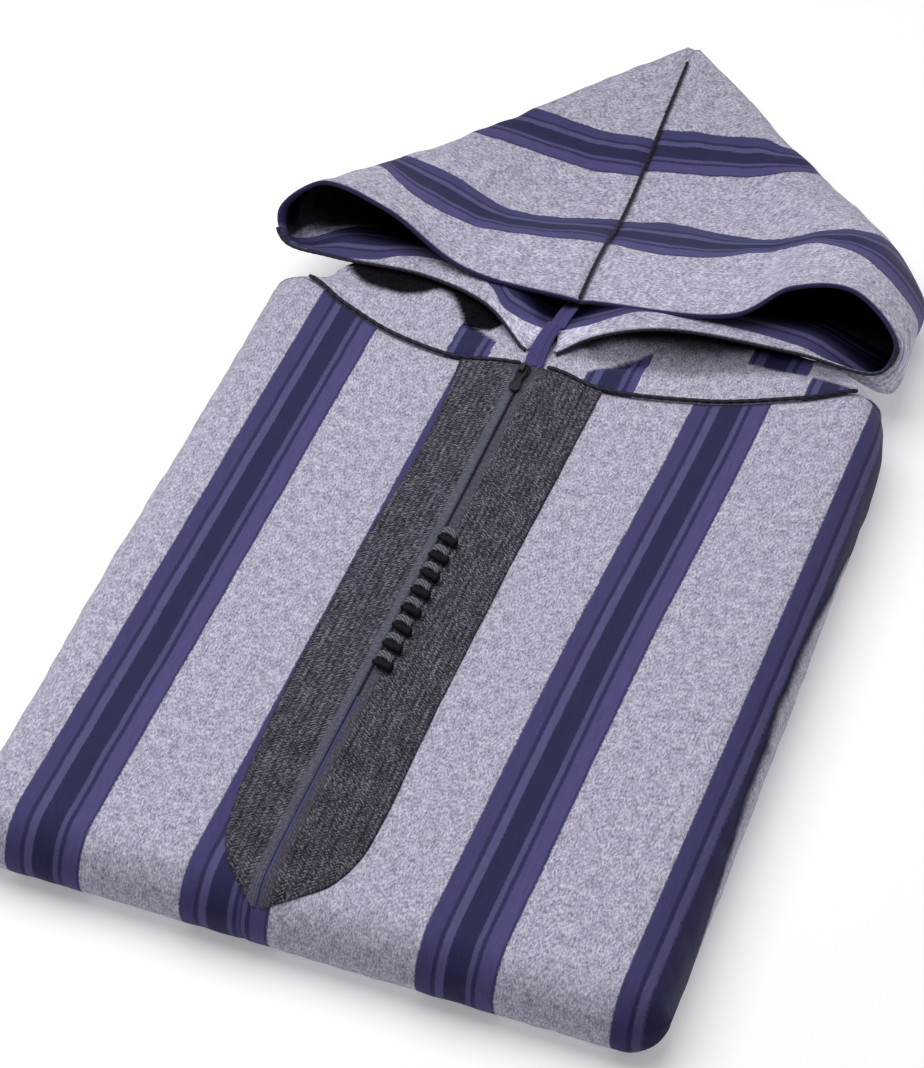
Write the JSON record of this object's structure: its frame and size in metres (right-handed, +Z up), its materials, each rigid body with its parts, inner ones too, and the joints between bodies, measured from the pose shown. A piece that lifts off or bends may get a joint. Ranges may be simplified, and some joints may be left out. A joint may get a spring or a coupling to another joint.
{
  "type": "folded hooded djellaba",
  "caption": "Striped hooded long robe folded into a flat packet, hood laid out behind it, braided placket with zip, knotted buttons and black seam cords.",
  "frame": {"origin": "on the surface it lies on, under the middle of the whole garment's bounding box", "axes": "+Y from the bottom fold towards the hood's point, +X to the right of the packet seen from above with the hood away, +Z up"},
  "size_m": [0.4325, 0.849, 0.0811],
  "materials": {
    "striped_cloth": "melange grey wool blend with woven navy stripe clusters",
    "folded_layers": "the same striped cloth, folded layers seen at their edges",
    "braid": "charcoal herringbone braid",
    "tape": "navy facing tape",
    "cord": "black twisted cord",
    "knots": "black silky thread, wound",
    "zip_metal": "black enamelled metal"
  },
  "bodies": {
    "garment": {"folded_layers": "folded_layers", "front_left": "striped_cloth", "front_right": "striped_cloth", "shoulder_left": "striped_cloth", "shoulder_right": "striped_cloth", "hood_left": "striped_cloth", "hood_right": "striped_cloth", "placket_left": "braid", "placket_right": "braid", "neck_tape": "tape", "hood_seam_cord": "cord", "shoulder_cord_left": "cord", "shoulder_cord_right": "cord", "rim_cord_left": "cord", "rim_cord_right": "cord", "knot_1": "knots", "knot_2": "knots", "knot_3": "knots", "knot_4": "knots", "knot_5": "knots", "knot_6": "knots", "knot_7": "knots", "knot_8": "knots", "zip_chain": "zip_metal", "zip_slider": "zip_metal"},
    "pull_tab": {"zip_pull_tab": "zip_metal"}
  },
  "joints": [
    {"name": "pull_tab_swing", "type": "hinge", "parent": "garment", "child": "pull_tab", "pos_m": [-0.0198, 0.02145, 0.0557], "axis": [-1, 0, 0], "range_deg": [0, 150]}
  ]
}
